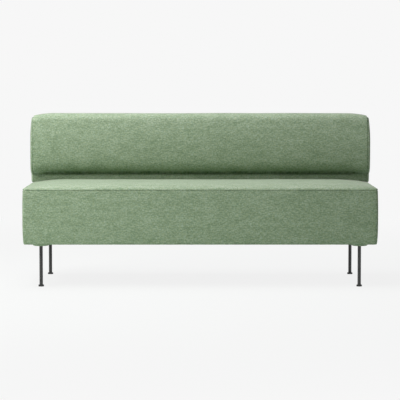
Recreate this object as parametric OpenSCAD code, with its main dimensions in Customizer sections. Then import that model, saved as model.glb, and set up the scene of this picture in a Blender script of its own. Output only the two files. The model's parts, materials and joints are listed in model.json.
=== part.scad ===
// Two-seat dining sofa: a boxed seat on four thin rod legs, with a long rolled backrest.
// X runs along the sofa, Y from front to back and Z up. The origin is on the floor,
// under the middle of the sofa.

/* [Overall] */
// Width of the seat, from end bulge to end bulge
sofa_w = 1650; // [1500:10:1900]
// Depth, from the front bulge to the rear face
sofa_d = 650; // [620:5:720]
// Height of the backrest's crest above the floor
sofa_h = 798; // [770:1:860]

/* [Seat box] */
// Height of the seat's underside above the floor
seat_low = 201; // [180:1:225]
// Height of the seat box, from its underside to the seam under the top panel
seat_box_h = 250; // [230:1:260]
// Rise of the top panel above its seam
seat_crown = 28; // [18:1:34]
// Radius of the roll where the top panel leaves its seam
seat_roll_r = 14; // [8:0.5:15]
// Distance from the front seam to the full crown
seat_front_run = 120; // [80:5:180]
// Distance from the rear seam to the full crown
seat_rear_run = 220; // [200:5:360]
// Distance from an end seam to the full crown
seat_side_run = 180; // [80:5:220]
// Bulge of the front and rear panels between hem and seam
seat_face_bulge = 4; // [2:0.5:7]
// Bulge of the end panels between hem and seam
seat_end_bulge = 3; // [2:0.5:7]
// Radius of the box's upright corners
seat_corner_r = 12; // [6:1:20]

/* [Backrest] */
// Depth of the roll, from its belly to the rear face
back_depth = 210; // [190:5:240]
// Depth of the neck that carries the roll
neck_depth = 155; // [120:5:165]
// Height of the open groove between the seat's crown and the roll
neck_h = 25; // [15:1:45]
// Radius of the roll's underside
roll_r = 70; // [60:2:90]
// Radius of the front top edge
top_r = 44; // [40:2:70]
// Radius of the rear top edge
rear_r = 50; // [30:2:60]
// Radius of the bowed front face
bow_r = 600; // [500:50:1500]
// How far the top edge lies behind the belly
top_setback = 16; // [12:1:25]
// Reach of each end of the backrest past the seat's end
back_overhang = 5; // [0:1:10]
// Bulge of each end panel beyond its seam
end_puff = 14; // [9:1:18]
// Distance from the front and rear faces to an end panel's full bulge
end_run = 40; // [25:1:60]
// Distance from the crest down to an end panel's full bulge
end_top_run = 130; // [60:5:160]
// Drop of the crest at the end seams
crest_drop = 17; // [10:1:30]
// Distance from an end seam to the full crest
crest_run = 100; // [80:5:250]
// Radius of the rolls beside the end seams
end_roll_r = 8; // [4:0.5:8]

/* [Covers] */
// Thickness of the cover fabric with its thin lining
cover_t = 2; // [1:0.5:3]
// Gap between a cover and what it wraps, and under the backrest
soft_gap = 0.3; // [0.2:0.1:0.6]
// Thickness of the lining under the seat
lining_t = 2; // [1:0.5:3]
// Thickness of the padding between rails and cover
border_t = 14; // [12:1:20]

/* [Seat frame] */
// Thickness of the timber rails
rail_t = 22; // [18:1:28]
// Height of the outer rails
rail_h = 110; // [90:5:130]
// Height of the two cross rails, lower so that the webbing can sag
cross_rail_h = 95; // [70:5:105]
// Width of a leg block along the sofa
block_w = 95; // [85:5:110]
// Depth of a leg block
block_d = 90; // [85:5:110]
// Height of a leg block
block_h = 60; // [45:5:80]
// Width of a webbing band
band_w = 50; // [40:5:60]
// Thickness of a webbing band
band_t = 2.5; // [1.5:0.5:4]
// Number of bands from front to rear, and of bands up the back
short_band_count = 10; // [8:2:12]
// Number of bands along the seat
long_band_count = 4; // [3:1:5]
// Space between the outermost short bands and the side rails
short_band_gap = 89; // [70:1:110]
// Space between the outermost long bands and the front and rear rails
long_band_gap = 69; // [55:1:90]

/* [Back frame] */
// Height of the top and bottom rails of the back frame
back_rail_h = 40; // [34:2:55]
// Width of an upright
upright_w = 60; // [56:2:80]
// Space between the back frame's ends and the end seams
back_frame_inset = 13; // [10:1:30]
// Space between the back frame and the crest
crest_pad = 25; // [22:1:50]
// Space between the back frame and the seat's crown at the rear
back_frame_lift = 11; // [8:1:20]
// Thickness of the board behind the back frame
board_t = 3; // [2:0.5:5]
// Width of a back bracket
bracket_w = 50; // [40:2:54]
// Thickness of a back bracket
bracket_t = 6; // [4:0.5:8]
// Length of a back bracket below the top of the seat rails
bracket_below = 100; // [92:2:102]
// Height of a back bracket's end above the back frame's foot
bracket_above = 165; // [145:5:190]

/* [Legs] */
// Radius of a leg tube
leg_r = 8; // [7:0.25:10]
// Wall of a leg tube
leg_wall = 2.5; // [2:0.1:3]
// Distance of a leg's axis from the end of the sofa
leg_inset_x = 82; // [74:1:85]
// Distance of a leg's axis from the front or rear of the sofa
leg_inset_y = 60; // [56:1:75]
// Radius of a leg plate
plate_r = 33; // [30:1:35]
// Thickness of a leg plate
plate_t = 4; // [3:0.5:5]
// Radius of the screw circle in a leg plate
plate_screw_r = 22; // [19:0.5:23]
// Radius of the soft cover under a leg plate
plate_cover_r = 39; // [37:1:45]
// Depth of the soft cover under a leg plate
plate_cover_h = 10; // [9.5:0.5:14]
// Length of the threaded bush in a leg's end
bush_l = 20; // [14:1:30]
// Height of a foot's base
foot_h = 8; // [6:0.5:12]
// Radius of a foot's base
foot_r = 13; // [11:0.5:18]
// Travel of a levelling foot
foot_travel = 10; // [5:1:14]
// Length of stud above its bush when the foot is screwed right out
stud_spare = 6; // [3:1:10]

/* [Fasteners] */
// Radius of a foot's threaded stud
stud_r = 2.95; // [2.5:0.05:3.2]
// Radius of a bolt's shank
bolt_r = 4; // [3:0.5:5]
// Width of the rim of a bolt's head round its shank
bolt_rim = 3; // [2:0.5:4]
// Height of a bolt's head
bolt_head_h = 5; // [4:0.5:6]
// Radial play of a bolt in its hole
bolt_play = 0.5; // [0.3:0.1:0.8]
// Distance of the outer bolts from a bracket's ends
bolt_edge = 25; // [20:1:28]
// Distance between the two bolts at each end of a bracket
bolt_pitch = 50; // [40:1:55]
// Wall of a tee nut
nut_wall = 1.2; // [1:0.1:1.5]
// Length of a tee nut
nut_l = 11; // [8:0.5:14]
// Width of a tee nut's flange round its barrel
nut_rim = 6; // [4:0.5:8]
// Thickness of a tee nut's flange
nut_flange_t = 1.5; // [1:0.1:2]
// Radius of a leg screw's shank
screw_r = 2.2; // [1.8:0.1:2.6]
// Width of the rim of a leg screw's head round its shank
screw_rim = 2; // [1.5:0.1:2.5]
// Height of a leg screw's head
screw_head_h = 3; // [2:0.5:4]
// Radial play of a leg screw in its plate
screw_play = 0.4; // [0.2:0.1:0.6]
// Length of a leg screw under its head
screw_l = 35; // [25:1:45]
// Radius of a timber dowel
dowel_r = 4; // [3:0.5:5]
// Depth of a dowel in the face of a rail
dowel_face = 14; // [10:1:16]
// Depth of a dowel in the end of a rail
dowel_end = 26; // [20:1:34]
// Radial play of bushes, studs, dowels and nuts in their bores
fit = 0.05; // [0.02:0.01:0.1]

/* [Hidden] */
$fn = 64;
// Straight stretches in the large and the small rounds of the soft forms
arc_n = 12;
roll_n = 6;
CORNERS = [["front_left", -1, -1], ["front_right", 1, -1], ["rear_left", -1, 1], ["rear_right", 1, 1]];
SIDES = [["left", -1], ["centre", 0], ["right", 1]];
ENDS = [["left", -1], ["right", 1]];
function per_corner(name) = [for (c = CORNERS) str(name, "_", c[0])];
function per_end(name) = [for (e = ENDS) str(name, "_", e[0])];

// Colours
FABRIC = [0.50, 0.57, 0.45];
FOAM = [0.93, 0.90, 0.78];
TIMBER = [0.80, 0.66, 0.46];
BOARD = [0.62, 0.48, 0.33];
DOWEL = [0.88, 0.76, 0.56];
WEBBING = [0.25, 0.25, 0.27];
LINING = [0.13, 0.13, 0.14];
BLACK_STEEL = [0.16, 0.16, 0.17];
ZINC = [0.72, 0.73, 0.75];
NYLON = [0.12, 0.12, 0.12];

// Cuts reach this far past the faces that they open
over = 20;
half_w = sofa_w / 2;
half_d = sofa_d / 2;

// Heights and seams of the seat
seam_z = seat_low + seat_box_h;
crown_z = seam_z + seat_crown;
seat_seam_x = half_w - seat_corner_r;
pad_in = cover_t + soft_gap;

// The seat frame's box, its rails and its webbing
frame_x = half_w - border_t;
frame_y = half_d - border_t;
frame_low = seat_low + lining_t;
rail_top = frame_low + rail_h;
inner_x = frame_x - rail_t;
inner_y = frame_y - rail_t;
rail_mid_y = frame_y - rail_t / 2;
long_band_z = rail_top;
short_band_z = long_band_z + band_t;
foam_low = short_band_z + band_t;
short_band_pitch = (2 * (inner_x - short_band_gap) - band_w) / (short_band_count - 1);
long_band_pitch = (2 * (inner_y - long_band_gap) - band_w) / (long_band_count - 1);
// The two cross rails divide the frame into three bays of one width
cross_rail_x = inner_x / 3;

// The backrest's outline in the YZ plane
neck_y = half_d - neck_depth;
belly_y = half_d - back_depth;
// The top edge's round lies in the bowed front's arc, whose foremost point is the belly
top_at = [belly_y + top_setback + top_r, sofa_h - top_r];
bow_x = belly_y + bow_r;
bow_at = [bow_x, top_at[1] - sqrt(pow(bow_r - top_r, 2) - pow(bow_x - top_at[0], 2))];
// and so does the roll's round, at its own height
roll_z = crown_z + neck_h + roll_r;
roll_at = [bow_x - sqrt(pow(bow_r - roll_r, 2) - pow(bow_at[1] - roll_z, 2)), roll_z];
rear_at = [half_d - rear_r, sofa_h - rear_r];
back_low = seam_z + seat_roll_r;
back_seam_x = half_w + back_overhang - end_puff;
crest_seam_z = sofa_h - crest_drop;
neck_seam_z = roll_at[1] - sqrt(pow(roll_r, 2) - pow(roll_at[0] - neck_y, 2));

// The back frame
back_frame_x = back_seam_x - back_frame_inset;
back_frame_low = back_low + back_frame_lift;
back_frame_top = sofa_h - crest_pad;
board_y = frame_y + board_t;
// Each outer bracket stands midway between the last two short bands
bracket_x = (short_band_count / 2 - 1) * short_band_pitch;
bracket_y = inner_y - bracket_t;
bracket_low = rail_top - bracket_below;
bracket_top = back_frame_low + bracket_above;
bolt_rows = [
    bracket_low + bolt_edge,
    bracket_low + bolt_edge + bolt_pitch,
    bracket_top - bolt_edge - bolt_pitch,
    bracket_top - bolt_edge
];

// Fasteners
bolt_head_r = bolt_r + bolt_rim;
bolt_hole_r = bolt_r + bolt_play;
nut_r = bolt_r + fit + nut_wall;
nut_flange_r = nut_r + nut_rim;
screw_head_r = screw_r + screw_rim;
screw_hole_r = screw_r + screw_play;
plate_screws = 4;
screw_tip_gap = 2;
dowel_tip_gap = 0.2;
dowel_rows = [0.3, 0.7];
dowel_side = 18;

// Legs and feet
leg_x = half_w - leg_inset_x;
leg_y = half_d - leg_inset_y;
plate_low = seat_low - plate_t;
bore_r = leg_r - leg_wall;
stop_gap = 0.3;
leg_low = foot_h + stop_gap;
stud_flange_r = 2 * stud_r;
stud_seat = foot_h / 2;
stud_top = leg_low + bush_l + foot_travel + stud_spare;
foot_edge = 1.5;
cover_low = seat_low - plate_cover_h;
cover_floor = 2.5;
cover_edge_r = 5;

// Radius of the long arc that reaches its full rise over a run and meets a roll of radius r
function long_r(run, rise, r) = (pow(run - r, 2) + rise * rise - r * r) / (2 * (rise - r));
// Radius of an arc that bulges by a height over a chord
function bulge_r(chord, height) = (chord * chord / 4 + height * height) / (2 * height);
function unit(v) = v / norm(v);
function reversed(v) = [for (i = [len(v) - 1:-1:0]) v[i]];
function tail(v) = [for (i = [1:len(v) - 1]) v[i]];
// Points of an arc between two angles, in n straight stretches, less its last point
function arc(c, r, low, high, n) =
    [for (i = [0:n - 1]) let (a = low + (high - low) * i / n) c + r * [cos(a), sin(a)]];
// Half of a crowned panel's section, set in by t: the roll at its seam, at 0, and the long rise
function crown_half(run, rise, r, t) =
    let (big = long_r(run, rise, r), meet = atan2(big - rise, r - run))
    concat(
        arc([r, 0], r - t, 180, meet, roll_n),
        arc([run, rise - big], big - t, meet, 90, arc_n),
        [[run, rise - t]]
    );
// A whole crowned section from one seam to the other, on the height z
function crown(low, high, z, run_low, run_high, rise, r, t) =
    concat(
        [for (p = crown_half(run_low, rise, r, t)) [low + p[0], z + p[1]]],
        [for (p = reversed(crown_half(run_high, rise, r, t))) [high - p[0], z + p[1]]]
    );
// One side of the seat's section, from its hem up to its seam, less the seam's point
function seat_side(half, bulge, t, drop) =
    let (r = bulge_r(seat_box_h, bulge), a = asin(seat_box_h / 2 / (r - t)))
    let (side = arc([r - half, seat_low + seat_box_h / 2], r - t, 180 + a, 180 - a, arc_n))
    concat([[side[0][0], seat_low - drop]], drop > 0 ? side : tail(side));

module along_x(length) {
    rotate([90, 0, 90])
        linear_extrude(length, center = true)
            children();
}

module along_y(length) {
    rotate([90, 0, 0])
        linear_extrude(length, center = true)
            children();
}

// A box between two corners
module block(low, high) {
    translate(low)
        cube(high - low);
}

// Everything between two heights
module slab(low, high) {
    block([-sofa_w, -sofa_d, low], [sofa_w, sofa_d, high]);
}

// The seat's section: bulging sides under a crowned top
module seat_section(half, bulge, run_low, run_high, t, drop) {
    side = seat_side(half, bulge, t, drop);
    top = crown(bulge - half, half - bulge, seam_z, run_low, run_high, seat_crown, seat_roll_r, t);
    polygon(concat(side, top, [for (p = reversed(side)) [-p[0], p[1]]]));
}

// The seat's plan, with round corners
module seat_plan(t) {
    x = half_w - seat_corner_r;
    y = half_d - seat_corner_r;
    r = seat_corner_r - t;
    corner = concat(arc([x, y], r, 0, 90, roll_n), [[x, y + r]]);
    polygon(concat(
        corner,
        [for (p = reversed(corner)) [-p[0], p[1]]],
        [for (p = corner) -p],
        [for (p = reversed(corner)) [p[0], -p[1]]]
    ));
}

// The whole seat, with every face set in by t and its underside lowered by drop
module seat_form(t, drop = 0) {
    intersection() {
        along_x(sofa_w + over)
            seat_section(half_d, seat_face_bulge, seat_front_run, seat_rear_run, t, drop);
        along_y(sofa_d + over)
            seat_section(half_w, seat_end_bulge, seat_side_run, seat_side_run, t, drop);
        translate([0, 0, seat_low - drop])
            linear_extrude(seat_box_h + seat_crown + drop + over)
                seat_plan(t);
    }
}

// The backrest's outline from the side: neck, round underside, bowed front and round top
module back_side_section(t, drop) {
    neck = neck_y + t;
    neck_angle = 270 - asin((roll_at[0] - neck) / (roll_r - t));
    bow_low = 180 - asin(unit(roll_at - bow_at)[1]);
    bow_high = 180 - asin(unit(top_at - bow_at)[1]);
    low = back_low - drop;
    polygon(concat(
        [[half_d - t, low], [neck, low]],
        arc(roll_at, roll_r - t, neck_angle, bow_low, arc_n),
        arc(bow_at, bow_r - t, bow_low, bow_high, roll_n),
        arc(top_at, top_r - t, bow_high, 90, arc_n),
        arc(rear_at, rear_r - t, 90, 0, arc_n),
        [[half_d - t, rear_at[1]]]
    ));
}

// The backrest from the front: a crest that drops at its ends, and puffed end panels
module back_front_section(t, drop) {
    seam = back_seam_x - t;
    crest_z = crest_seam_z - t;
    low = back_low - drop;
    puff = [for (p = crown_half(end_top_run, end_puff, end_roll_r, 0)) [seam + p[1], crest_z - p[0]]];
    crest = crown(-seam, seam, crest_z, crest_run, crest_run, crest_drop, end_roll_r, 0);
    polygon(concat(
        [[-seam - end_puff, low]],
        [for (p = reversed(tail(puff))) [-p[0], p[1]]],
        crest,
        tail(puff),
        [[seam + end_puff, low]]
    ));
}

// The backrest from above
module back_plan(t) {
    seam = back_seam_x - t;
    half = crown_half(end_run, end_puff, end_roll_r, 0);
    front = [for (p = half) [seam + p[1], belly_y + t + p[0]]];
    rear = [for (p = reversed(half)) [seam + p[1], half_d - t - p[0]]];
    end = concat(front, rear);
    polygon(concat(end, [for (p = reversed(end)) [-p[0], p[1]]]));
}

// The backrest's outline, with every face set in by t and its underside lowered by drop
module back_outline(t, drop) {
    intersection() {
        along_x(2 * (back_seam_x + end_puff + over))
            back_side_section(t, drop);
        along_y(2 * sofa_d)
            back_front_section(t, drop);
        translate([0, 0, back_low - drop])
            linear_extrude(sofa_h)
                back_plan(t);
    }
}

// The whole backrest, resting just above the seat
module back_form(t) {
    difference() {
        back_outline(t, 0);
        seat_form(-soft_gap);
    }
}

// A rod along Y between two depths
module rod_y(r, x, y_low, y_high, z) {
    translate([x, y_low, z])
        rotate([-90, 0, 0])
            cylinder(y_high - y_low, r = r);
}

// A rod along Z between two heights
module rod_z(r, x, y, z_low, z_high) {
    translate([x, y, z_low])
        cylinder(z_high - z_low, r = r);
}

// Places its children at every bracket bolt
module at_bolts() {
    for (s = SIDES, z = bolt_rows)
        translate([s[1] * bracket_x, 0, z])
            children();
}

// The way through a rail for one bolt and its tee nut, at x = 0 and z = 0
module bolt_bore() {
    rod_y(bolt_hole_r, 0, inner_y - over, frame_y + over, 0);
    rod_y(nut_r + fit, 0, frame_y - nut_l, frame_y + over, 0);
    rod_y(nut_flange_r + fit, 0, frame_y - nut_flange_t, frame_y + over, 0);
}

// Dowels of the seat frame, or their bores when r and gap are grown
module seat_dowels(r, gap) {
    for (sy = [-1, 1], sx = [-1, 1], f = dowel_rows) {
        low = min(sy * (inner_y - dowel_end - gap), sy * (inner_y + dowel_face + gap));
        high = max(sy * (inner_y - dowel_end - gap), sy * (inner_y + dowel_face + gap));
        rod_y(r, sx * (inner_x + rail_t / 2), low, high, frame_low + rail_h * f);
        rod_y(r, sx * cross_rail_x, low, high, frame_low + cross_rail_h * f);
    }
}

// Dowels of the back frame, or their bores when r and gap are grown
module back_dowels(r, gap) {
    foot_z = back_frame_low + back_rail_h;
    head_z = back_frame_top - back_rail_h;
    for (s = SIDES, sx = [-1, 1]) {
        x = s[1] * bracket_x + sx * dowel_side;
        rod_z(r, x, rail_mid_y, foot_z - dowel_face - gap, foot_z + dowel_end + gap);
        rod_z(r, x, rail_mid_y, head_z - dowel_end - gap, head_z + dowel_face + gap);
    }
}

// Places its children on one leg's axis
module at_leg(c) {
    translate([c[1] * leg_x, c[2] * leg_y, 0])
        children();
}

// Places its children at the screws of a leg plate
module at_leg_screws() {
    for (i = [0:plate_screws - 1])
        rotate((i + 0.5) * 360 / plate_screws)
            translate([plate_screw_r, 0, 0])
                children();
}

// The ways for the screws of one leg plate
module leg_screw_bores(c, r, top) {
    at_leg(c)
        at_leg_screws()
            rod_z(r, 0, 0, plate_low - over, top);
}

// The space of the brackets, with a gap all round
module bracket_space(gap) {
    for (s = SIDES)
        block(
            [s[1] * bracket_x - bracket_w / 2 - gap, bracket_y - gap, bracket_low],
            [s[1] * bracket_x + bracket_w / 2 + gap, inner_y + gap, bracket_top + gap]
        );
}

// Legs

module leg_tube(c) {
    color(BLACK_STEEL)
        at_leg(c)
            difference() {
                rod_z(leg_r, 0, 0, leg_low, plate_low);
                rod_z(bore_r, 0, 0, leg_low - over, plate_low + over);
            }
}

module leg_plate(c) {
    color(BLACK_STEEL)
        difference() {
            at_leg(c)
                rod_z(plate_r, 0, 0, plate_low, seat_low);
            leg_screw_bores(c, screw_hole_r, seat_low + over);
        }
}

module leg_bush(c) {
    color(ZINC)
        at_leg(c)
            difference() {
                rod_z(bore_r - fit, 0, 0, leg_low, leg_low + bush_l);
                rod_z(stud_r + fit, 0, 0, leg_low - over, leg_low + bush_l + over);
            }
}

module foot_stud(c) {
    color(ZINC)
        at_leg(c)
            union() {
                rod_z(stud_flange_r, 0, 0, stud_seat, foot_h);
                rod_z(stud_r, 0, 0, stud_seat, stud_top);
            }
}

module foot_base(c) {
    color(NYLON)
        at_leg(c)
            rotate_extrude()
                polygon([
                    [0, 0],
                    [foot_r, 0],
                    [foot_r, foot_h - foot_edge],
                    [foot_r - foot_edge, foot_h],
                    [stud_flange_r + fit, foot_h],
                    [stud_flange_r + fit, stud_seat],
                    [0, stud_seat]
                ]);
}

// Soft cups that hide the leg plates and their screw heads
module plate_covers() {
    cup_r = plate_r + soft_gap;
    hole_r = leg_r + soft_gap;
    floor_z = cover_low + cover_floor;
    color(FABRIC)
        for (c = CORNERS)
            at_leg(c)
                rotate_extrude() {
                    polygon([
                        [hole_r, cover_low],
                        [plate_cover_r - cover_edge_r, cover_low],
                        [plate_cover_r - cover_edge_r, cover_low + cover_edge_r],
                        [plate_cover_r, cover_low + cover_edge_r],
                        [plate_cover_r, seat_low],
                        [cup_r, seat_low],
                        [cup_r, floor_z],
                        [hole_r, floor_z]
                    ]);
                    intersection() {
                        translate([plate_cover_r - cover_edge_r, cover_low + cover_edge_r])
                            circle(cover_edge_r);
                        translate([plate_cover_r - cover_edge_r, cover_low])
                            square(cover_edge_r);
                    }
                }
}

module leg_screws() {
    color(ZINC)
        for (c = CORNERS)
            at_leg(c)
                at_leg_screws() {
                    rod_z(screw_head_r, 0, 0, plate_low - screw_head_h, plate_low);
                    rod_z(screw_r, 0, 0, plate_low, plate_low + screw_l);
                }
}

module leg_block(c) {
    mid = [c[1] * (inner_x - block_w / 2), c[2] * (inner_y - block_d / 2), frame_low + block_h / 2];
    color(TIMBER)
        difference() {
            translate(mid)
                cube([block_w, block_d, block_h], center = true);
            leg_screw_bores(c, screw_r + fit, plate_low + screw_l + screw_tip_gap);
        }
}

// Seat frame

module front_rail() {
    color(TIMBER)
        difference() {
            block([-frame_x, -frame_y, frame_low], [frame_x, -inner_y, rail_top]);
            seat_dowels(dowel_r + fit, dowel_tip_gap);
        }
}

module rear_rail() {
    color(TIMBER)
        difference() {
            block([-frame_x, inner_y, frame_low], [frame_x, frame_y, rail_top]);
            seat_dowels(dowel_r + fit, dowel_tip_gap);
            at_bolts()
                bolt_bore();
        }
}

module side_rail(s) {
    color(TIMBER)
        difference() {
            translate([s * (inner_x + rail_t / 2), 0, 0])
                block([-rail_t / 2, -inner_y, frame_low], [rail_t / 2, inner_y, rail_top]);
            seat_dowels(dowel_r + fit, dowel_tip_gap);
        }
}

module cross_rail(s) {
    color(TIMBER)
        difference() {
            translate([s * cross_rail_x, 0, 0])
                block([-rail_t / 2, -inner_y, frame_low], [rail_t / 2, inner_y, frame_low + cross_rail_h]);
            seat_dowels(dowel_r + fit, dowel_tip_gap);
        }
}

module frame_dowels() {
    color(DOWEL) {
        seat_dowels(dowel_r, 0);
        back_dowels(dowel_r, 0);
    }
}

module seat_webbing_long() {
    color(WEBBING)
        for (i = [0:long_band_count - 1]) {
            y = (i - (long_band_count - 1) / 2) * long_band_pitch;
            block(
                [-frame_x, y - band_w / 2, long_band_z],
                [frame_x, y + band_w / 2, long_band_z + band_t]
            );
        }
}

module seat_webbing_short() {
    color(WEBBING)
        for (i = [0:short_band_count - 1]) {
            x = (i - (short_band_count - 1) / 2) * short_band_pitch;
            block(
                [x - band_w / 2, -frame_y, short_band_z],
                [x + band_w / 2, frame_y, short_band_z + band_t]
            );
        }
}

// Seat padding and covers

module seat_foam() {
    color(FOAM)
        difference() {
            seat_form(pad_in);
            slab(0, foam_low);
            bracket_space(soft_gap);
        }
}

// Four strips of padding between the rails and the cover
module seat_border_foam() {
    color(FOAM)
        for (strip = [
            [[-sofa_w, -sofa_d], [sofa_w, -frame_y]],
            [[-sofa_w, frame_y], [sofa_w, sofa_d]],
            [[-sofa_w, soft_gap - frame_y], [-frame_x, frame_y - soft_gap]],
            [[frame_x, soft_gap - frame_y], [sofa_w, frame_y - soft_gap]]
        ])
            intersection() {
                seat_form(pad_in);
                block([strip[0][0], strip[0][1], frame_low], [strip[1][0], strip[1][1], foam_low]);
            }
}

// The seat's cover as a closed skin, open only below
module seat_skin() {
    difference() {
        seat_form(0);
        seat_form(cover_t, over);
    }
}

module seat_cover_top() {
    color(FABRIC)
        difference() {
            seat_skin();
            slab(0, seam_z);
            bracket_space(soft_gap);
        }
}

// The front panel for side -1, the rear panel for side 1
module seat_cover_long(side) {
    color(FABRIC)
        intersection() {
            seat_skin();
            block(
                [-seat_seam_x, min(side * half_d, 0) - soft_gap, seat_low],
                [seat_seam_x, max(side * half_d, 0) + soft_gap, seam_z]
            );
        }
}

module seat_cover_end(side) {
    mid_x = side * (seat_seam_x + seat_corner_r);
    color(FABRIC)
        intersection() {
            seat_skin();
            translate([mid_x, 0, 0])
                block([-seat_corner_r, -sofa_d, seat_low], [seat_corner_r, sofa_d, seam_z]);
        }
}

module seat_lining() {
    color(LINING)
        difference() {
            seat_form(pad_in);
            slab(frame_low, sofa_h);
            for (c = CORNERS)
                leg_screw_bores(c, screw_hole_r, rail_top);
        }
}

// Back frame

module back_top_rail() {
    color(TIMBER)
        difference() {
            block(
                [-back_frame_x, inner_y, back_frame_top - back_rail_h],
                [back_frame_x, frame_y, back_frame_top]
            );
            back_dowels(dowel_r + fit, dowel_tip_gap);
        }
}

module back_bottom_rail() {
    color(TIMBER)
        difference() {
            block(
                [-back_frame_x, inner_y, back_frame_low],
                [back_frame_x, frame_y, back_frame_low + back_rail_h]
            );
            back_dowels(dowel_r + fit, dowel_tip_gap);
        }
}

module back_upright(s) {
    x = s * bracket_x;
    color(TIMBER)
        difference() {
            block(
                [x - upright_w / 2, inner_y, back_frame_low + back_rail_h],
                [x + upright_w / 2, frame_y, back_frame_top - back_rail_h]
            );
            back_dowels(dowel_r + fit, dowel_tip_gap);
            at_bolts()
                bolt_bore();
        }
}

module back_webbing() {
    color(WEBBING)
        for (i = [0:short_band_count - 1]) {
            x = (i - (short_band_count - 1) / 2) * short_band_pitch;
            block(
                [x - band_w / 2, inner_y - band_t, back_frame_low],
                [x + band_w / 2, inner_y, back_frame_top]
            );
        }
}

module back_board() {
    color(BOARD)
        block([-back_frame_x, frame_y, back_frame_low], [back_frame_x, board_y, back_frame_top]);
}

// The room that the back frame takes in the padding, from its webbing to the rear
module back_frame_space() {
    block(
        [-back_frame_x, inner_y - band_t, back_low - over],
        [back_frame_x, half_d + over, back_frame_top]
    );
}

module back_foam() {
    color(FOAM)
        difference() {
            back_form(pad_in);
            back_frame_space();
            bracket_space(soft_gap);
            at_bolts()
                rod_y(bolt_head_r + soft_gap, 0, bracket_y - bolt_head_h - soft_gap, bracket_y, 0);
        }
}

module back_rear_pad() {
    color(FOAM)
        intersection() {
            back_form(pad_in);
            block([-back_frame_x, board_y, back_frame_low], [back_frame_x, sofa_d, back_frame_top]);
        }
}

// The backrest's cover as a closed skin, open only below
module back_skin() {
    difference() {
        back_outline(0, 0);
        back_outline(cover_t, over);
        seat_form(-soft_gap);
    }
}

module neck_zone() {
    block([-back_seam_x, neck_y - over, back_low - over], [back_seam_x, roll_at[0], neck_seam_z]);
}

module rear_zone() {
    block([-back_seam_x, rear_at[0], back_low - over], [back_seam_x, half_d + over, rear_at[1]]);
}

module back_cover_front() {
    color(FABRIC)
        difference() {
            intersection() {
                back_skin();
                block([-back_seam_x, 0, 0], [back_seam_x, sofa_d, 2 * sofa_h]);
            }
            neck_zone();
            rear_zone();
        }
}

module back_cover_neck() {
    color(FABRIC)
        intersection() {
            back_skin();
            neck_zone();
        }
}

module back_cover_rear() {
    color(FABRIC)
        intersection() {
            back_skin();
            rear_zone();
        }
}

module back_cover_end(side) {
    mid_x = side * (back_seam_x + end_puff);
    color(FABRIC)
        intersection() {
            back_skin();
            translate([mid_x, 0, 0])
                block([-end_puff, 0, 0], [end_puff, sofa_d, 2 * sofa_h]);
        }
}

// Steel between seat and back

module back_brackets() {
    color(BLACK_STEEL)
        difference() {
            for (s = SIDES)
                block(
                    [s[1] * bracket_x - bracket_w / 2, bracket_y, bracket_low],
                    [s[1] * bracket_x + bracket_w / 2, inner_y, bracket_top]
                );
            at_bolts()
                rod_y(bolt_hole_r, 0, bracket_y - over, inner_y + over, 0);
        }
}

module bracket_bolts() {
    color(ZINC)
        at_bolts() {
            rod_y(bolt_head_r, 0, bracket_y - bolt_head_h, bracket_y, 0);
            rod_y(bolt_r, 0, bracket_y, frame_y - nut_flange_t, 0);
        }
}

module tee_nuts() {
    color(ZINC)
        at_bolts()
            difference() {
                union() {
                    rod_y(nut_r, 0, frame_y - nut_l, frame_y, 0);
                    rod_y(nut_flange_r, 0, frame_y - nut_flange_t, frame_y, 0);
                }
                rod_y(bolt_r + fit, 0, frame_y - nut_l - over, frame_y + over, 0);
            }
}

for (c = CORNERS) {
    leg_tube(c);
    leg_plate(c);
    leg_bush(c);
    foot_stud(c);
    foot_base(c);
    leg_block(c);
}
for (e = ENDS) {
    side_rail(e[1]);
    cross_rail(e[1]);
    seat_cover_end(e[1]);
    back_cover_end(e[1]);
}
for (s = SIDES)
    back_upright(s[1]);
plate_covers();
leg_screws();
front_rail();
rear_rail();
frame_dowels();
seat_webbing_long();
seat_webbing_short();
seat_foam();
seat_border_foam();
seat_cover_top();
seat_cover_long(-1);  // seat_cover_front
seat_cover_long(1);  // seat_cover_rear
seat_lining();
back_top_rail();
back_bottom_rail();
back_webbing();
back_board();
back_foam();
back_rear_pad();
back_cover_front();
back_cover_neck();
back_cover_rear();
back_brackets();
bracket_bolts();
tee_nuts();
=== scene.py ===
import json
import math

import bpy
import numpy as np
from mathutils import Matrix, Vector, noise
from mathutils.bvhtree import BVHTree


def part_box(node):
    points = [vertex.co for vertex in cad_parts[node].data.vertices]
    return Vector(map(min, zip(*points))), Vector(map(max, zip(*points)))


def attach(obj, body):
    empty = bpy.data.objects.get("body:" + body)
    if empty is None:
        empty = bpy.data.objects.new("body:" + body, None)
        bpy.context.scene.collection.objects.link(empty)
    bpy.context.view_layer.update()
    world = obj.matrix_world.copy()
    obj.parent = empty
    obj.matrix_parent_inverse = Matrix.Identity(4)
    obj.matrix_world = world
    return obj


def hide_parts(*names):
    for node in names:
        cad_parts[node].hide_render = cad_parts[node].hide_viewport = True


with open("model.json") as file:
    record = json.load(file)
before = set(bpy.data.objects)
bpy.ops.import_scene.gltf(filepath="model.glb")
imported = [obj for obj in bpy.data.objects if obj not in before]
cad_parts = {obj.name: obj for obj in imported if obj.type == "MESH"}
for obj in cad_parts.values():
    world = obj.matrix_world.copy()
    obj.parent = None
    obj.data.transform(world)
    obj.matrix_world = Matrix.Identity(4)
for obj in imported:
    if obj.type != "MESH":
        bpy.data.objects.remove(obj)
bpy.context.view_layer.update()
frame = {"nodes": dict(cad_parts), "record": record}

# Lengths are in metres; MM turns millimetres into them
MM = 0.001
CORNERS = ("front_left", "front_right", "rear_left", "rear_right")
ENDS = ("left", "right")
# A length, and a share of a height, that counts as none
TINY = 1e-6
TINY_SHARE = 0.001
# Added to a length that something is divided by
NO_MOVE = 1e-9

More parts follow.
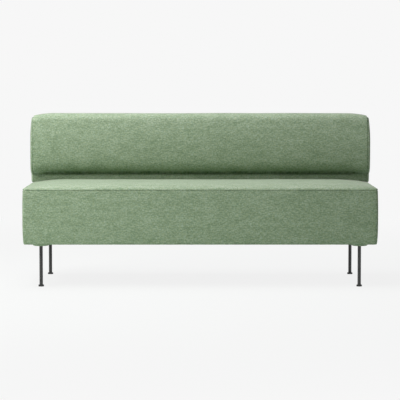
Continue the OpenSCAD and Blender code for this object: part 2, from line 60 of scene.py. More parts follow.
# Seat, from the frame
HALF_W = -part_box("seat_cover_left")[0].x
HALF_D = -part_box("seat_cover_front")[0].y
SEAT_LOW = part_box("seat_cover_front")[0].z
SEAM_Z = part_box("seat_cover_front")[1].z
CROWN_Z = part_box("seat_cover_top")[1].z
CORNER_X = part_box("seat_cover_front")[1].x
CORNER_R = HALF_W - CORNER_X
CROWN = CROWN_Z - SEAM_Z

# Seat, shapes that a box doesn't give. The top rises from its seams in a small roll and then a long arc,
# which has these runs from the front, the rear and the ends
SEAT_ROLL_R = 14 * MM
FRONT_RUN = 120 * MM
REAR_RUN = 220 * MM
SIDE_RUN = 180 * MM
# How far the front and rear, and the ends, are drawn in at the hem and, as a share of that, at the seam
FACE_BULGE = 6 * MM
END_BULGE = 4 * MM
SEAM_DRAWN = 0.6
# Their last stretch above the hem rolls in this much further, over this height
HEM_ROLL = 2.4 * MM
HEM_ROLL_RUN = 9 * MM
# The subdivision lifts the hem's edge, so it starts this much lower
HEM_DROP = 1.2 * MM
# The corners stand out at the top seam by this share, over this height
CORNER_NIB = 0.12
CORNER_NIB_H = 6 * MM

# Backrest, from the frame
BACK_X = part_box("back_cover_front")[1].x
BELLY_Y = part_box("back_cover_front")[0].y
REAR_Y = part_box("back_cover_rear")[1].y
NECK_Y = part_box("back_cover_neck")[0].y
NECK_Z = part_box("back_cover_neck")[1].z
REAR_SEAM_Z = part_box("back_cover_rear")[1].z
CREST_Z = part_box("back_cover_front")[1].z
END_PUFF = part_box("back_cover_right")[1].x - BACK_X

# Backrest, shapes that a box doesn't give: the radii of the roll's underside, the top edge, which is set
# back from the belly, the bowed front between them and the rear top edge, and the neck's height in sight
ROLL_R = 70 * MM
TOP_R = 44 * MM
TOP_SETBACK = 16 * MM
BOW_R = 600 * MM
REAR_R = CREST_Z - REAR_SEAM_Z
NECK_H = 25 * MM
# The ends puff out from their seams in a small roll and then an arc, which is longer from the top
END_ROLL_R = 8 * MM
END_RUN = 40 * MM
END_TOP_RUN = 130 * MM
# The top edge dips this much towards the ends, over this run, and the dip sets in above this height
CREST_DROP = 17 * MM
CREST_RUN = 100 * MM
DIP_FROM_Z = 640 * MM
# Beside the end seams the roll's underside fills out, by this share of its overhang over this run. The
# fill sets in this far below the top of the neck and is whole this far above it
NECK_FILL = 0.3
NECK_FILL_RUN = 90 * MM
FILL_BELOW = 10 * MM
FILL_ABOVE = 15 * MM
# The neck's ends round back by this much over this run
NECK_ROUND = 9 * MM
NECK_ROUND_RUN = 45 * MM
BACK_LOW = SEAM_Z + SEAT_ROLL_R
# The backrest stands this far above the seat's surface
BACK_GAP = 0.3 * MM
# Centres of the rounds. The belly is the foremost point of the bowed front, which the top edge and the
# roll meet smoothly
TOP_AT = (BELLY_Y + TOP_SETBACK + TOP_R, CREST_Z - TOP_R)
TOP_TO_BOW = BOW_R - TOP_R
BOW_AT = (BELLY_Y + BOW_R, TOP_AT[1] - math.sqrt(TOP_TO_BOW**2 - (TOP_TO_BOW - TOP_SETBACK) ** 2))
ROLL_Z = CROWN_Z + NECK_H + ROLL_R
ROLL_AT = (BOW_AT[0] - math.sqrt((BOW_R - ROLL_R) ** 2 - (BOW_AT[1] - ROLL_Z) ** 2), ROLL_Z)
REAR_AT = (REAR_Y - REAR_R, CREST_Z - REAR_R)

# Cups over the leg plates, which lie a little inside the CAD covers
LEG_LOW, LEG_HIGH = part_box("leg_tube_front_right")
CUP_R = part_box("plate_covers")[1].x - (LEG_LOW.x + LEG_HIGH.x) / 2 - 1 * MM
CUP_SECTORS = 72
# The rounded edge of a cup, and how far above the CAD cover's underside it starts
CUP_EDGE_R = 6 * MM
CUP_EDGE_UP = 0.2 * MM
# A cup's cloth is drawn in to the leg in this many folds, this high. They are at their highest at this ring
# of its profile and fade over this many rings to each side
CUP_FOLDS = 17
CUP_FOLD = 0.45 * MM
CUP_FOLD_RING = 3
CUP_FOLD_RINGS = 2.2

# Lining, which ends this far in from the seat's sides and lies this far above the hem
LINING_IN = 16 * MM
LINING_UP = 1.2 * MM
# It sags this much between the rails. The sag sets in this far from its edge and is full this far in
LINING_SAG = 1.2 * MM
SAG_FROM = 20 * MM
SAG_TO = 160 * MM
# Each side of a cross rail the sag comes back over this share of the half width
SAG_BAY = 0.25
# Its turned edge is this thick and this wide, with a step behind it and a rounded fold, and it waves
# between the staples
TURN_THICK = 0.5 * MM
TURN_W = 9 * MM
TURN_STEP_W = 3 * MM
TURN_ROLL = 1.5 * MM
WAVE = 0.35 * MM
WAVE_W = 14 * MM

# Staples
STAPLE_PITCH = 55 * MM
STAPLE_FROM_END = 30 * MM
STAPLE_FROM_EDGE = 6 * MM
STAPLE_HALF_L = 5 * MM
WIRE_R = 0.6 * MM
WIRE_SIDES = 6
# How far a staple may lie askew, in radians, and the step from one to the next
STAPLE_SKEW = 0.16
STAPLE_SKEW_STEP = 7.3

# Grid of the upholstery, whose quads are about this wide, and narrower beside a seam
STEP = 13 * MM
# Grid lines up the rolled hem, over the backrest's top edge and beside a seam
HEM_ROWS = tuple(d * MM for d in (2, 5, 9))
TOP_ROWS = 8
BESIDE_SEAM = tuple(d * MM for d in (0, 0.7, 1.6, 3, 6, 11))

# Seams and creases. A seam is drawn in this deep and this wide
SEAM_DEPTH = 3.4 * MM
SEAM_W = 1.3 * MM
# The upright corner seams are drawn in less, as if this much further away
CORNER_EASE = 1.3 * MM
# The crease under the roll is this deep and this wide. It fades towards the ends as if it were this much
# further away there
CREASE_DEPTH = 11 * MM
CREASE_W = 7 * MM
CREASE_EASE = 12 * MM

# The hem is turned in this far. Behind it the cloth steps up over this run and by this much, clear of the
# lining
HEM_W = 12 * MM
HEM_STEP_W = 8 * MM
HEM_LIFT = 4 * MM

# Stuffing: the swelling's pressure and frames, and the most that it moves a point
PRESSURE = 1.2
FRAMES = 20
SWELL_CAP = 3 * MM
# Beside a seam or a crease the cloth is held over this width and let go over the next
HELD_W = 2 * MM
LET_GO_W = 10 * MM
# Soft lumps, which fade towards the seams and, over this height, towards the hem
LUMP = 1.3 * MM
LUMP_SIZE = 210 * MM
LUMP_FADE_W = 60 * MM
LUMP_FADE_H = 70 * MM
# Small puckers in a band this far from a seam
PUCKER = 0.5 * MM
PUCKER_SIZE = 34 * MM
PUCKER_AWAY = 11 * MM
PUCKER_W = 8 * MM
PUCKER_SHIFT = Vector((7, 3, 5))


def crown(d, run, rise, roll):
    """Share of a panel's full rise at a distance d from its seam: a roll, then one long arc."""
    d = min(max(d, 0), run)
    big = ((run - roll) ** 2 + rise**2 - roll**2) / (2 * (rise - roll))
    meet = math.atan2(big - rise, roll - run)
    if d <= roll + roll * math.cos(meet):
        return math.sqrt(max(roll**2 - (roll - d) ** 2, 0)) / rise
    return (rise - big + math.sqrt(big**2 - (run - d) ** 2)) / rise


def smooth(x, low, high):
    """0 below low and 1 above high, with a smooth step between."""
    t = min(max((x - low) / (high - low), 0), 1)
    return t * t * (3 - 2 * t)


def least(*shares, sharpness=6):
    """The least of the shares, rounded off where two are alike."""
    total = sum(max(share, TINY_SHARE) ** -sharpness for share in shares)
    return (total - len(shares) + 1) ** (-1 / sharpness)


def round_in(s, roll, share):
    """How far in from its seam a point lies that is s along a panel: round the roll, then level.

    Where share is below 1 the roll counts less, and it is forgotten between 2 and 10 of its radii.
    """
    level = roll * (1 - math.cos(min(s / roll, math.pi / 2))) + max(s - roll * math.pi / 2, 0)
    return s + (level - s) * (1 - smooth(s, 2 * roll, 10 * roll)) * share


def lines(low, high, seams, marks=()):
    """Grid lines from low to high through the marks, and closer together beside seams."""
    beside = {round(s + side * d, 6) for s in seams for d in BESIDE_SEAM for side in (-1, 1)}
    marks = sorted({low, high} | {m for m in beside | set(marks) if low < m < high})
    made = []
    for a, b in zip(marks, marks[1:]):
        count = max(1, round((b - a) / STEP))
        made += [a + (b - a) * i / count for i in range(count)]
    return made + [marks[-1]]


def lattice(us, vs, ws):
    """The quads on the surface of a block of grid lines: points, faces, and each face's axis and end."""
    grid = (us, vs, ws)
    index, points, faces, sides = {}, [], [], []
    for axis in range(3):
        a, b = (axis + 1) % 3, (axis + 2) % 3
        for end in (0, len(grid[axis]) - 1):
            for m in range(len(grid[a]) - 1):
                for n in range(len(grid[b]) - 1):
                    ring = []
                    for dm, dn in ((0, 0), (1, 0), (1, 1), (0, 1)):
                        key = [0, 0, 0]
                        key[axis], key[a], key[b] = end, m + dm, n + dn
                        key = tuple(key)
                        if key not in index:
                            index[key] = len(points)
                            points.append([grid[i][key[i]] for i in range(3)])
                        ring.append(index[key])
                    faces.append(ring if end else ring[::-1])
                    sides.append((axis, end > 0))
    return np.array(points), faces, sides


def mesh_piece(name, points, faces):
    """A new mesh object with smooth faces."""
    mesh = bpy.data.meshes.new(name)
    mesh.from_pydata([tuple(p) for p in points], [], faces)
    mesh.polygons.foreach_set("use_smooth", [True] * len(mesh.polygons))
    piece = bpy.data.objects.new(name, mesh)
    bpy.context.scene.collection.objects.link(piece)
    return piece


def grid_faces(rows, columns, closed=False):
    """Quads of a grid of points that is stored row by row, joined round where closed."""
    faces = []
    for r in range(rows - 1):
        for c in range(columns if closed else columns - 1):
            beyond = (c + 1) % columns
            near, far = r * columns, (r + 1) * columns
            faces.append([near + c, near + beyond, far + beyond, far + c])
    return faces


def lay_weave(piece, flat):
    """Gives each face corner its place in the cloth, in metres, from flat(face, corner vertex)."""
    layer = piece.data.uv_layers.new(name="weave")
    for face in piece.data.polygons:
        for corner in face.loop_indices:
            layer.data[corner].uv = flat(face.index, piece.data.loops[corner].vertex_index)


def points_of(piece):
    """The places of a piece's points, one row each."""
    made = np.empty(len(piece.data.vertices) * 3)
    piece.data.vertices.foreach_get("co", made)
    return made.reshape(-1, 3)


def normals_of(piece):
    """The directions square to a piece at its points, one row each."""
    piece.data.update()
    made = np.empty(len(piece.data.vertices) * 3)
    piece.data.vertices.foreach_get("normal", made)
    return made.reshape(-1, 3)


def set_points(piece, points):
    """Moves a piece's points to these places."""
    piece.data.vertices.foreach_set("co", np.asarray(points).ravel())
    piece.data.update()


def swell(piece, held):
    """Inflates a closed form as stuffing does. held is each point's hold, from 0 to 1."""
    before = points_of(piece)
    group = piece.vertex_groups.new(name="held")
    for i, weight in enumerate(held):
        group.add([i], float(weight), "REPLACE")
    cloth = piece.modifiers.new("stuffing", "CLOTH")
    cloth.settings.quality = 4
    cloth.settings.mass = 0.4
    cloth.settings.tension_stiffness = 12
    cloth.settings.compression_stiffness = 12
    cloth.settings.bending_stiffness = 2
    cloth.settings.use_pressure = True
    cloth.settings.uniform_pressure_force = PRESSURE
    cloth.settings.vertex_group_mass = "held"
    cloth.settings.effector_weights.gravity = 0
    scene = bpy.context.scene
    for f in range(1, FRAMES + 1):
        scene.frame_set(f)
    shown = piece.evaluated_get(bpy.context.evaluated_depsgraph_get())
    after = np.empty(len(before) * 3)
    shown.data.vertices.foreach_get("co", after)
    piece.modifiers.remove(cloth)
    piece.vertex_groups.remove(group)
    scene.frame_set(1)
    move = after.reshape(-1, 3) - before
    length = np.linalg.norm(move, axis=1, keepdims=True) + NO_MOVE
    set_points(piece, before + move / length * SWELL_CAP * np.tanh(length / SWELL_CAP))


def stuff(piece, to_seam, to_crease, lumpy):
    """Swells the panels between their seams, then draws the seams and creases in and lets the cloth pucker.

    The cloth lies smooth where lumpy is 0 and has its full lumps where it is 1.
    """
    swell(piece, 1 - np.clip((np.minimum(to_seam, to_crease) - HELD_W) / LET_GO_W, 0, 1))
    points, normals = points_of(piece), normals_of(piece)
    lumps = np.array([noise.noise(Vector(p) / LUMP_SIZE) for p in points])
    puckers = np.array([noise.noise(Vector(p) / PUCKER_SIZE + PUCKER_SHIFT) for p in points])
    beside = np.exp(-(((to_seam - PUCKER_AWAY) / PUCKER_W) ** 2))
    away = np.clip(to_seam / LUMP_FADE_W, 0, 1)
    move = LUMP * lumps * away * lumpy + PUCKER * puckers * beside
    move -= SEAM_DEPTH * np.exp(-((to_seam / SEAM_W) ** 2))
    move -= CREASE_DEPTH * np.exp(-((to_crease / CREASE_W) ** 2))
    set_points(piece, points + normals * move[:, None])


def soften(piece):
    """Adds the subdivision that smooths the quads."""
    subdivision = piece.modifiers.new("smooth", "SUBSURF")
    subdivision.levels = 1
    subdivision.render_levels = 1


# Seat

def seat_place(x, y, z):
    """Puts a point of the seat's block on the cushion's form."""
    share = (z - SEAT_LOW) / (SEAM_Z - SEAT_LOW)
    rise = 0
    to_end, to_side = HALF_W - abs(x), HALF_D - abs(y)
    if share > 1 - TINY_SHARE:
        x = math.copysign(HALF_W - round_in(to_end, SEAT_ROLL_R, smooth(to_side, 0, SEAT_ROLL_R)), x)
        y = math.copysign(HALF_D - round_in(to_side, SEAT_ROLL_R, smooth(to_end, 0, SEAT_ROLL_R)), y)
        side = crown(HALF_W - abs(x), SIDE_RUN, CROWN, SEAT_ROLL_R)
        front = crown(y + HALF_D, FRONT_RUN, CROWN, SEAT_ROLL_R)
        rear = crown(HALF_D - y, REAR_RUN, CROWN, SEAT_ROLL_R)
        rise = CROWN * least(side, front, rear)
    elif share < TINY_SHARE:
        inside = min(to_end, to_side)
        rise = HEM_LIFT * smooth(inside, HEM_W, HEM_W + HEM_STEP_W)
        rise -= HEM_DROP * (1 - smooth(inside, 0, HEM_W))
    dx = abs(x) - (HALF_W - CORNER_R)
    dy = abs(y) - (HALF_D - CORNER_R)
    if dx > 0 and dy > 0:
        nib = 1 + CORNER_NIB * math.exp(-(((z - SEAM_Z) / CORNER_NIB_H) ** 2))
        pull = nib * max(dx, dy) / math.hypot(dx, dy)
        x = math.copysign(HALF_W - CORNER_R + dx * pull, x)
        y = math.copysign(HALF_D - CORNER_R + dy * pull, y)
    drawn = abs(2 * share - 1) ** 3 * (SEAM_DRAWN if share > 0.5 else 1)
    rolled = HEM_ROLL * (1 - min((z - SEAT_LOW) / HEM_ROLL_RUN, 1)) ** 2
    x *= 1 - (END_BULGE * drawn + rolled) / HALF_W
    y *= 1 - (FACE_BULGE * drawn + rolled) / HALF_D
    return [x, y, z + rise]


def hem_marks(half):
    """Grid lines along the step behind the hem, at both sides of a half width."""
    steps = [HEM_W + HEM_STEP_W * i / 2 for i in range(3)]
    return [side * (half - step) for side in (-1, 1) for step in steps]


def make_seat():
    """Seat cushion: a crowned top over four drawn-in sides, sewn together, with its hem turned in."""
    xs = lines(-HALF_W, HALF_W, [-HALF_W, -CORNER_X, CORNER_X, HALF_W], hem_marks(HALF_W))
    ys = lines(-HALF_D, HALF_D, [-HALF_D, HALF_D], hem_marks(HALF_D))
    zs = lines(SEAT_LOW, SEAM_Z, [SEAM_Z], [SEAT_LOW + row for row in HEM_ROWS])
    block, faces, sides = lattice(xs, ys, zs)
    piece = mesh_piece("seat_upholstery", [seat_place(*p) for p in block], faces)
    lay_weave(piece, lambda f, v: [c for i, c in enumerate(block[v]) if i != sides[f][0]])
    to_end, to_side = HALF_W - np.abs(block[:, 0]), HALF_D - np.abs(block[:, 1])
    on_end, on_side, on_top = to_end < TINY, to_side < TINY, block[:, 2] > SEAM_Z - TINY
    to_corner = np.where(on_end, to_side + CORNER_R, np.abs(np.abs(block[:, 0]) - CORNER_X)) + CORNER_EASE
    to_seam = np.where(on_end | on_side, np.minimum(SEAM_Z - block[:, 2], to_corner), 1)
    to_seam = np.where(on_top, np.minimum(to_end, to_side), to_seam)
    lumpy = np.clip((block[:, 2] - SEAT_LOW) / LUMP_FADE_H, 0, 1)
    stuff(piece, to_seam, np.ones(len(block)), lumpy)
    soften(piece)
    return piece


# Backrest

def touch_z(centre):
    """Height at which the bowed front touches a round with this centre."""
    away = np.subtract(centre, BOW_AT)
    return BOW_AT[1] + BOW_R * away[1] / np.linalg.norm(away)


BOW_LOW, BOW_HIGH = touch_z(ROLL_AT), touch_z(TOP_AT)


def front_y(z):
    """Depth of the backrest's front at a height: neck, roll, bowed front and top edge."""
    if z <= NECK_Z:
        return NECK_Y
    if z < BOW_LOW:
        centre, r = ROLL_AT, ROLL_R
    elif z < BOW_HIGH:
        centre, r = BOW_AT, BOW_R
    else:
        centre, r = TOP_AT, TOP_R
    return centre[0] - math.sqrt(max(r * r - (z - centre[1]) ** 2, 0))


def rear_y(z):
    """Depth of the backrest's rear at a height."""
    if z <= REAR_AT[1]:
        return REAR_Y
    return REAR_AT[0] + math.sqrt(max(REAR_R**2 - (z - REAR_AT[1]) ** 2, 0))


def back_place(x, share, z, seat_z):
    """Puts a point of the backrest's block on its form. seat_z gives the seat's surface under a point."""
    from_end = BACK_X - abs(x)
    front, rear = front_y(z), rear_y(z)
    if z < BOW_LOW:
        filled = smooth(z, NECK_Z - FILL_BELOW, NECK_Z + FILL_ABOVE)
        front -= NECK_FILL * (front - BELLY_Y) * (1 - smooth(from_end, 0, NECK_FILL_RUN)) * filled
        front += NECK_ROUND * (1 - smooth(from_end, 0, NECK_ROUND_RUN)) * (1 - filled)
    ahead, behind, above = (rear - front) * share, (rear - front) * (1 - share), CREST_Z - z
    y, top = front + ahead, z
    if from_end < TINY:
        near_top = smooth(above, 0, END_ROLL_R)
        if share < 0.5:
            ahead = round_in(ahead, END_ROLL_R, near_top)
            behind = rear - front - ahead
        else:
            behind = round_in(behind, END_ROLL_R, near_top)
            ahead = rear - front - behind
        y = front + ahead
        above = round_in(above, END_ROLL_R, smooth(min(ahead, behind), 0, END_ROLL_R))
        top = CREST_Z - above
        puff = crown(ahead, END_RUN, END_PUFF, END_ROLL_R) * crown(behind, END_RUN, END_PUFF, END_ROLL_R)
        puff *= crown(above, END_TOP_RUN, END_PUFF, END_ROLL_R)
        x = math.copysign(BACK_X + END_PUFF * puff, x)
    drop = CREST_DROP * (1 - crown(from_end, CREST_RUN, CREST_DROP, END_ROLL_R))
    low = max(0, (NECK_Z - z) / (NECK_Z - BACK_LOW))
    lift = low * (seat_z(x, y) - BACK_LOW) if low > 0 else 0
    return [x, y, top - drop * smooth(z, DIP_FROM_Z, CREST_Z) + lift]


def top_lines(low):
    """Grid lines over the top edge at even angles, so that its quads stay even."""
    start = math.asin((low - TOP_AT[1]) / TOP_R)
    angles = [start + (math.pi / 2 - start) * i / TOP_ROWS for i in range(1, TOP_ROWS + 1)]
    return [TOP_AT[1] + TOP_R * math.sin(angle) for angle in angles]


def along(line):
    """Distance run along a line of points."""
    steps = np.linalg.norm(np.diff(line, axis=0), axis=1)
    return np.concatenate([[0], np.cumsum(steps)])


def make_back(seat_z):
    """Backrest: a panel over its front and top, a rear panel and two puffed ends. It stands on the seat."""
    top_start = REAR_SEAM_Z + BESIDE_SEAM[-1]
    xs = lines(-BACK_X, BACK_X, [-BACK_X, BACK_X])
    zs = lines(BACK_LOW, top_start, [NECK_Z, REAR_SEAM_Z]) + top_lines(top_start)
    depth = REAR_Y - BELLY_Y
    shares = [y / depth for y in lines(0, depth, [0, depth])]
    block, faces, sides = lattice(xs, shares, zs)
    piece = mesh_piece("back_upholstery", [back_place(*p, seat_z) for p in block], faces)
    front_run = along([(front_y(z), z) for z in zs])
    rear_run = along([(rear_y(z), z) for z in zs])
    top_w = REAR_AT[0] - TOP_AT[0]

    def flat(f, v):
        """The front, top and rear are one run of cloth, and the ends and the bottom lie as they are."""
        x, share, z = block[v]
        axis, end = sides[f]
        if axis == 0:
            return front_y(z) + (rear_y(z) - front_y(z)) * share, z
        if axis == 2 and not end:
            return x, NECK_Y + (REAR_Y - NECK_Y) * share
        if axis == 2:
            return x, front_run[-1] + top_w * share
        if not end:
            return x, np.interp(z, zs, front_run)
        return x, front_run[-1] + top_w + rear_run[-1] - np.interp(z, zs, rear_run)

    lay_weave(piece, flat)
    here = np.array([rear_y(p[2]) - front_y(p[2]) for p in block])
    on_cap = np.abs(block[:, 0]) > BACK_X - TINY
    edge = np.minimum(np.minimum(block[:, 1], 1 - block[:, 1]) * here, CREST_Z - block[:, 2])
    to_seam = np.where(on_cap, edge, BACK_X - np.abs(block[:, 0]))
    on_rear, on_front = block[:, 1] > 1 - TINY, block[:, 1] < TINY
    to_seam = np.where(on_rear & ~on_cap, np.minimum(to_seam, np.abs(block[:, 2] - REAR_SEAM_Z)), to_seam)
    inner = (block[:, 2] < BACK_LOW + TINY) & ~on_rear & ~on_front & ~on_cap
    to_seam = np.where(inner, 1, to_seam)
    fade = np.array([smooth(BACK_X - abs(x), 0, NECK_FILL_RUN) for x in block[:, 0]])
    to_crease = np.where(on_front, np.abs(block[:, 2] - NECK_Z) + CREASE_EASE * (1 - fade), 1)
    stuff(piece, to_seam, to_crease, lumpy=1)
    soften(piece)
    return piece


def surface_under(piece, gap):
    """Height of a piece's surface plus a gap, as a function of x and y, which stay inside the seam."""
    # The rays start this far inside the side seams and this high, above the whole sofa
    inside, above = 4 * MM, 2.0
    mesh = piece.evaluated_get(bpy.context.evaluated_depsgraph_get()).data
    tree = BVHTree.FromPolygons([v.co for v in mesh.vertices], [list(p.vertices) for p in mesh.polygons])

    def height(x, y):
        start = Vector((math.copysign(min(abs(x), HALF_W - inside), x), min(y, HALF_D - CORNER_R), above))
        return tree.ray_cast(start, Vector((0, 0, -1)))[0].z + gap

    return height


# Under the seat

def revolve(name, middle, profile, dent):
    """A soft round skin about an upright axis. dent(ring, angle) moves a point up or down."""
    points = []
    for ring, (r, z) in enumerate(profile):
        for k in range(CUP_SECTORS):
            angle = 2 * math.pi * k / CUP_SECTORS
            x, y = middle.x + r * math.cos(angle), middle.y + r * math.sin(angle)
            points.append((x, y, z + dent(ring, angle)))
    piece = mesh_piece(name, points, grid_faces(len(profile), CUP_SECTORS, closed=True))
    reach = profile[0][0] + along(profile)

    def flat(f, v):
        """The skin is cut as a round, so its cloth lies flat about the axis."""
        ring, k = divmod(v, CUP_SECTORS)
        angle = 2 * math.pi * k / CUP_SECTORS
        return reach[ring] * math.cos(angle), reach[ring] * math.sin(angle)

    lay_weave(piece, flat)
    return piece


def make_cup(corner):
    """Soft cup over a leg plate, with its cloth drawn in to the tube in small folds."""
    low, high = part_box(f"leg_tube_{corner}")
    leg_r = (high.x - low.x) / 2
    cup_low, cup_high = (v.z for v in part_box("plate_covers"))
    # The underside, in millimetres out from the leg and up, then the rounded edge and the rim under the hem
    underside = ((0.3, 2.4), (1.2, 1.2), (3.5, 0.5), (8, 0.5), (14, 0.5), (20, 0.5))
    profile = [(leg_r + out * MM, cup_low + up * MM) for out, up in underside]
    edge = (CUP_R - CUP_EDGE_R, cup_low + CUP_EDGE_R + CUP_EDGE_UP)
    for degrees in range(0, 91, 18):
        a = math.radians(degrees)
        profile.append((edge[0] + CUP_EDGE_R * math.sin(a), edge[1] - CUP_EDGE_R * math.cos(a)))
    rim = ((0.4, -2), (0, 0.3), (-4, 1.4))
    profile += [(CUP_R + out * MM, cup_high + up * MM) for out, up in rim]
    turn = CORNERS.index(corner)

    def dent(ring, angle):
        drawn = math.exp(-(((ring - CUP_FOLD_RING) / CUP_FOLD_RINGS) ** 2))
        uneven = 1 + 0.5 * math.sin(3 * angle + 2 * turn)
        return CUP_FOLD * drawn * math.sin(CUP_FOLDS * angle + turn) * uneven

    return revolve(f"plate_cup_{corner}", (low + high) / 2, profile, dent)


def make_lining():
    """Lining stretched under the rails, with its edges turned in and drawn a little between the staples."""
    half_x, half_y = HALF_W - LINING_IN, HALF_D - LINING_IN
    xs = lines(-half_x, half_x, [-half_x, half_x])
    ys = lines(-half_y, half_y, [-half_y, half_y])
    rest_z = SEAT_LOW + LINING_UP
    cross_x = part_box("cross_rail_right")[0].x
    points = []
    for y in ys:
        for x in xs:
            to_edge = min(half_x - abs(x), half_y - abs(y))
            bay = 1 - min(abs(abs(x) - cross_x) / (SAG_BAY * half_x), 1)
            sag = LINING_SAG * smooth(to_edge, SAG_FROM, SAG_TO) * (1 - bay**2)
            turned = 1 - smooth(to_edge, TURN_W, TURN_W + TURN_STEP_W)
            fold = TURN_THICK * turned * smooth(to_edge, 0, TURN_ROLL)
            wave = WAVE * math.exp(-to_edge / WAVE_W) * math.sin(2 * math.pi * (x + y) / STAPLE_PITCH)
            points.append((x, y, rest_z - sag - fold + wave))
    piece = mesh_piece("seat_lining_cloth", points, grid_faces(len(ys), len(xs)))
    soften(piece)
    return piece, half_x, half_y, rest_z


def make_staples(half_x, half_y, rest_z):
    """Row of wire staples round the lining's turned edge."""
    places = []
    for half, other, turn in ((half_x, half_y, 0), (half_y, half_x, math.pi / 2)):
        reach = half - STAPLE_FROM_END
        count = round(2 * reach / STAPLE_PITCH)
        for side in (-1, 1):
            for i in range(count + 1):
                run = -reach + 2 * reach * i / count
                away = side * (other - STAPLE_FROM_EDGE)
                x, y = (run, away) if turn == 0 else (away, run)
                places.append((x, y, turn + STAPLE_SKEW * math.sin(STAPLE_SKEW_STEP * i + side + turn)))
    # A leg of the wire, in millimetres in from the staple's end and up: its tip and its bend
    tip_and_bend = ((0, 1.5), (0, -0.4), (0.7, -1.0))
    leg = [(-STAPLE_HALF_L + inward * MM, up * MM) for inward, up in tip_and_bend]
    line = leg + [(-u, w) for u, w in reversed(leg)]
    points, faces = [], []
    for x, y, turn in places:
        first = len(points)
        for u, w in line:
            for k in range(WIRE_SIDES):
                across = WIRE_R * math.cos(2 * math.pi * k / WIRE_SIDES)
                out = WIRE_R * math.sin(2 * math.pi * k / WIRE_SIDES)
                # The wire's legs stand up, so their round lies level
                u_out, w_out = (u - out, w) if w > 0 else (u, w + out)
                points.append((
                    x + u_out * math.cos(turn) - across * math.sin(turn),
                    y + u_out * math.sin(turn) + across * math.cos(turn),
                    rest_z - TURN_THICK + w_out,
                ))
        faces += [[first + i for i in face] for face in grid_faces(len(line), WIRE_SIDES, closed=True)]
    return mesh_piece("lining_staples", points, faces)


# Materials

def node(tree, kind, inputs=None, **settings):
    """Adds a node, sets it up, and links or fills its inputs by name or number."""
    made = tree.nodes.new("ShaderNode" + kind)
    for key, value in settings.items():
        setattr(made, key, value)
    for key, value in (inputs or {}).items():
        if isinstance(value, bpy.types.NodeSocket):
            tree.links.new(value, made.inputs[key])
        else:
            made.inputs[key].default_value = value
    return made


def math_node(tree, operation, a, b):
    """Two values, or a value and a number, put through a Math node."""
    return node(tree, "Math", {0: a, 1: b}, operation=operation).outputs[0]


def ray_is_seen(tree):
    """1 where a ray comes from the camera, straight or by gloss or a clear surface, and 0 elsewhere."""
    path = node(tree, "LightPath").outputs
    through = math_node(tree, "MAXIMUM", path["Is Glossy Ray"], path["Is Transmission Ray"])
    return math_node(tree, "MAXIMUM", path["Is Camera Ray"], through)


def multiply(tree, a, b):
    """The product of two vectors, axis by axis."""
    return node(tree, "VectorMath", {0: a, 1: b}, operation="MULTIPLY").outputs[0]


def stretched_noise(tree, place, scale, detail=2.0, roughness=0.5):
    """Noise from 0 to 1 whose features are 1 / scale long on each axis."""
    vector = multiply(tree, place, scale)
    inputs = {"Vector": vector, "Scale": 1.0, "Detail": detail, "Roughness": roughness}
    return node(tree, "TexNoise", inputs).outputs[0]


def ramp(tree, value, *stops):
    """A colour ramp: stops are (position, colour)."""
    made = node(tree, "ValToRGB", {0: value})
    band = made.color_ramp
    for i, (position, colour) in enumerate(stops):
        stop = band.elements[i] if i < 2 else band.elements.new(position)
        stop.position = position
        stop.color = (*colour, 1)
    return made.outputs[0]


def finish_with(material, colour, height=None, distance=0.0, strength=1.0):
    """Gives a material its colour and, from a height, its relief."""
    tree = material.node_tree
    shader = tree.nodes["Principled BSDF"]
    tree.links.new(colour, shader.inputs["Base Color"])
    if height is not None:
        inputs = {"Height": height, "Distance": distance, "Strength": strength}
        tree.links.new(node(tree, "Bump", inputs).outputs[0], shader.inputs["Normal"])
    return material


def new_material(name, **constants):
    """A material whose one Principled shader has these constants on its own sockets, and its node tree."""
    material = bpy.data.materials.new(name)
    material.use_nodes = True
    tree = material.node_tree
    for key, value in constants.items():
        tree.nodes["Principled BSDF"].inputs[key.replace("_", " ")].default_value = value
    return material, tree


def object_place(tree):
    """The place on the piece, in metres."""
    return node(tree, "TexCoord").outputs["Object"]


def fabric():
    """Sage melange cloth: pale and dark yarns, short slubs both ways and soft clouding."""
    material, tree = new_material(
        "sage_fabric",
        Roughness=0.92,
        Specular_IOR_Level=0.02,
        Sheen_Weight=0.2,
        Sheen_Roughness=0.4,
        Sheen_Tint=(1.0, 0.98, 0.98, 1.0),
    )
    place = node(tree, "UVMap", uv_map="weave").outputs[0]
    # Each layer's features for each metre of cloth, its detail and its share
    layers = (
        ((62, 230, 1), 3, 0.31),
        ((240, 110, 1), 2, 0.22),
        ((130, 170, 1), 3, 0.26),
        ((15, 42, 1), 3, 0.15),
        ((5, 8, 1), 2, 0.06),
    )
    mixed = 0.0
    for scale, detail, share in layers:
        layer = math_node(tree, "MULTIPLY", stretched_noise(tree, place, scale, detail), share)
        mixed = math_node(tree, "ADD", layer, mixed)
    dark, middle, pale = (0.166, 0.243, 0.139), (0.259, 0.342, 0.221), (0.362, 0.446, 0.318)
    tone = ramp(tree, mixed, (0.415, dark), (0.585, pale), (0.50, middle))
    cooler, warmer = (0.97, 1.0, 1.06), (1.03, 1.0, 0.94)
    tint = ramp(tree, stretched_noise(tree, place, (90, 150, 1), 2), (0.35, cooler), (0.65, warmer))
    yarn = stretched_noise(tree, place, (900, 520, 1), 1)
    return finish_with(material, multiply(tree, tone, tint), yarn, 0.5 * MM, 0.7)


def powder_coat():
    """Satin black powder coat with a fine orange peel."""
    material, tree = new_material("black_steel", Roughness=0.42)
    place = object_place(tree)
    peel = stretched_noise(tree, place, (900, 900, 900), 2)
    cloud = stretched_noise(tree, place, (60, 60, 20), 3)
    colour = ramp(tree, cloud, (0.3, (0.030, 0.030, 0.030)), (0.7, (0.045, 0.045, 0.044)))
    return finish_with(material, colour, peel, 0.12 * MM, 0.5)


